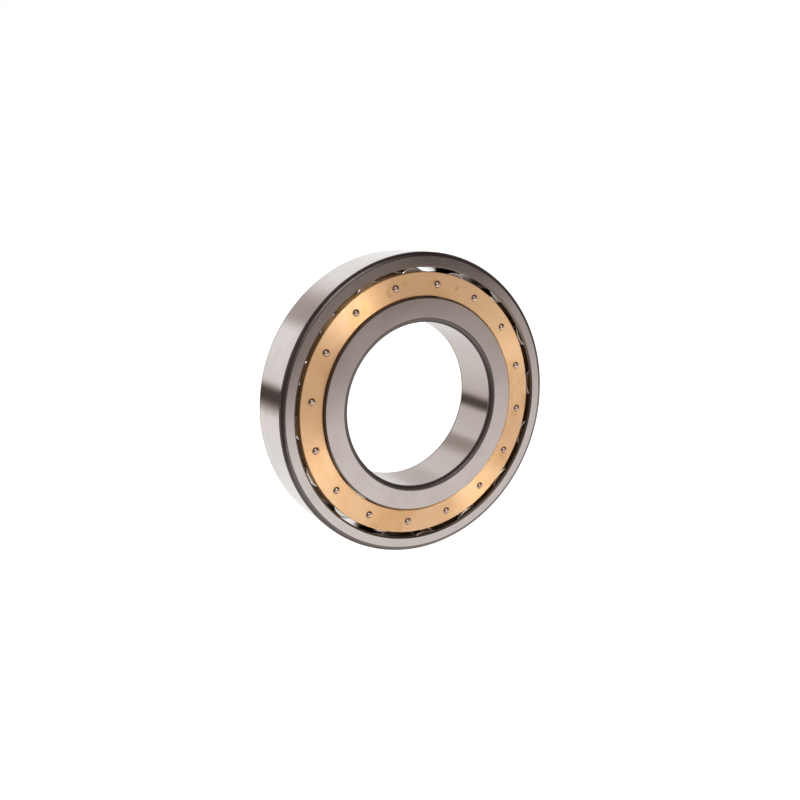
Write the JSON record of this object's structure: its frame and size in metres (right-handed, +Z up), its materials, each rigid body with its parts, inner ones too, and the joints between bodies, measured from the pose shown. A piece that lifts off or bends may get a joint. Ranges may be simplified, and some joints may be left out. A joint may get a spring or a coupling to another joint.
{
  "type": "cylindrical roller bearing",
  "caption": "Cylindrical roller bearing with a ribless outer ring, an inner ring with ribs at both sides and a riveted machined brass cage.",
  "frame": {"origin": "on the bearing's axis, at the middle of its width", "axes": "+Y along the bearing's axis, towards the back; the cage's cover is at the front, -Y; +Z up; the bearing stands on its rim"},
  "size_m": [0.2, 0.038, 0.2],
  "materials": {
    "ring_steel": "ground and honed bearing steel, satin",
    "roller_steel": "finely ground bearing steel, bright",
    "cage_brass": "turned and tumbled brass, satin",
    "rivet_steel": "bright steel, formed heads"
  },
  "bodies": {
    "outer_ring": {"outer_ring": "ring_steel"},
    "inner_ring": {"inner_ring": "ring_steel"},
    "cage": {"cage_body": "cage_brass", "cage_cover": "cage_brass", "cage_rivets": "rivet_steel"},
    "roller_01": {"roller_01": "roller_steel"},
    "roller_02": {"roller_02": "roller_steel"},
    "roller_03": {"roller_03": "roller_steel"},
    "roller_04": {"roller_04": "roller_steel"},
    "roller_05": {"roller_05": "roller_steel"},
    "roller_06": {"roller_06": "roller_steel"},
    "roller_07": {"roller_07": "roller_steel"},
    "roller_08": {"roller_08": "roller_steel"},
    "roller_09": {"roller_09": "roller_steel"},
    "roller_10": {"roller_10": "roller_steel"},
    "roller_11": {"roller_11": "roller_steel"},
    "roller_12": {"roller_12": "roller_steel"},
    "roller_13": {"roller_13": "roller_steel"},
    "roller_14": {"roller_14": "roller_steel"},
    "roller_15": {"roller_15": "roller_steel"},
    "roller_16": {"roller_16": "roller_steel"}
  },
  "joints": [
    {"name": "inner_ring_spin", "type": "hinge", "parent": "outer_ring", "child": "inner_ring", "pos_m": [0, 0, 0], "axis": [0, 1, 0], "continuous": true},
    {"name": "cage_spin", "type": "hinge", "parent": "outer_ring", "child": "cage", "pos_m": [0, 0, 0], "axis": [0, 1, 0], "continuous": true},
    {"name": "roller_01_spin", "type": "hinge", "parent": "cage", "child": "roller_01", "pos_m": [0.07824, 0, 0.00102], "axis": [0, 1, 0], "continuous": true},
    {"name": "roller_02_spin", "type": "hinge", "parent": "cage", "child": "roller_02", "pos_m": [0.0719, 0, 0.03089], "axis": [0, 1, 0], "continuous": true},
    {"name": "roller_03_spin", "type": "hinge", "parent": "cage", "child": "roller_03", "pos_m": [0.0546, 0, 0.05605], "axis": [0, 1, 0], "continuous": true},
    {"name": "roller_04_spin", "type": "hinge", "parent": "cage", "child": "roller_04", "pos_m": [0.029, 0, 0.07268], "axis": [0, 1, 0], "continuous": true},
    {"name": "roller_05_spin", "type": "hinge", "parent": "cage", "child": "roller_05", "pos_m": [-0.00102, 0, 0.07824], "axis": [0, 1, 0], "continuous": true},
    {"name": "roller_06_spin", "type": "hinge", "parent": "cage", "child": "roller_06", "pos_m": [-0.03089, 0, 0.0719], "axis": [0, 1, 0], "continuous": true},
    {"name": "roller_07_spin", "type": "hinge", "parent": "cage", "child": "roller_07", "pos_m": [-0.05605, 0, 0.0546], "axis": [0, 1, 0], "continuous": true},
    {"name": "roller_08_spin", "type": "hinge", "parent": "cage", "child": "roller_08", "pos_m": [-0.07268, 0, 0.029], "axis": [0, 1, 0], "continuous": true},
    {"name": "roller_09_spin", "type": "hinge", "parent": "cage", "child": "roller_09", "pos_m": [-0.07824, 0, -0.00102], "axis": [0, 1, 0], "continuous": true},
    {"name": "roller_10_spin", "type": "hinge", "parent": "cage", "child": "roller_10", "pos_m": [-0.0719, 0, -0.03089], "axis": [0, 1, 0], "continuous": true},
    {"name": "roller_11_spin", "type": "hinge", "parent": "cage", "child": "roller_11", "pos_m": [-0.0546, 0, -0.05605], "axis": [0, 1, 0], "continuous": true},
    {"name": "roller_12_spin", "type": "hinge", "parent": "cage", "child": "roller_12", "pos_m": [-0.029, 0, -0.07268], "axis": [0, 1, 0], "continuous": true},
    {"name": "roller_13_spin", "type": "hinge", "parent": "cage", "child": "roller_13", "pos_m": [0.00102, 0, -0.07824], "axis": [0, 1, 0], "continuous": true},
    {"name": "roller_14_spin", "type": "hinge", "parent": "cage", "child": "roller_14", "pos_m": [0.03089, 0, -0.0719], "axis": [0, 1, 0], "continuous": true},
    {"name": "roller_15_spin", "type": "hinge", "parent": "cage", "child": "roller_15", "pos_m": [0.05605, 0, -0.0546], "axis": [0, 1, 0], "continuous": true},
    {"name": "roller_16_spin", "type": "hinge", "parent": "cage", "child": "roller_16", "pos_m": [0.07268, 0, -0.029], "axis": [0, 1, 0], "continuous": true}
  ],
  "couplings": [
    {"joint": "cage_spin", "follows": "inner_ring_spin", "ratio": 0.42332},
    {"joint": "roller_01_spin", "follows": "inner_ring_spin", "ratio": -3.1837},
    {"joint": "roller_02_spin", "follows": "inner_ring_spin", "ratio": -3.1837},
    {"joint": "roller_03_spin", "follows": "inner_ring_spin", "ratio": -3.1837},
    {"joint": "roller_04_spin", "follows": "inner_ring_spin", "ratio": -3.1837},
    {"joint": "roller_05_spin", "follows": "inner_ring_spin", "ratio": -3.1837},
    {"joint": "roller_06_spin", "follows": "inner_ring_spin", "ratio": -3.1837},
    {"joint": "roller_07_spin", "follows": "inner_ring_spin", "ratio": -3.1837},
    {"joint": "roller_08_spin", "follows": "inner_ring_spin", "ratio": -3.1837},
    {"joint": "roller_09_spin", "follows": "inner_ring_spin", "ratio": -3.1837},
    {"joint": "roller_10_spin", "follows": "inner_ring_spin", "ratio": -3.1837},
    {"joint": "roller_11_spin", "follows": "inner_ring_spin", "ratio": -3.1837},
    {"joint": "roller_12_spin", "follows": "inner_ring_spin", "ratio": -3.1837},
    {"joint": "roller_13_spin", "follows": "inner_ring_spin", "ratio": -3.1837},
    {"joint": "roller_14_spin", "follows": "inner_ring_spin", "ratio": -3.1837},
    {"joint": "roller_15_spin", "follows": "inner_ring_spin", "ratio": -3.1837},
    {"joint": "roller_16_spin", "follows": "inner_ring_spin", "ratio": -3.1837}
  ]
}
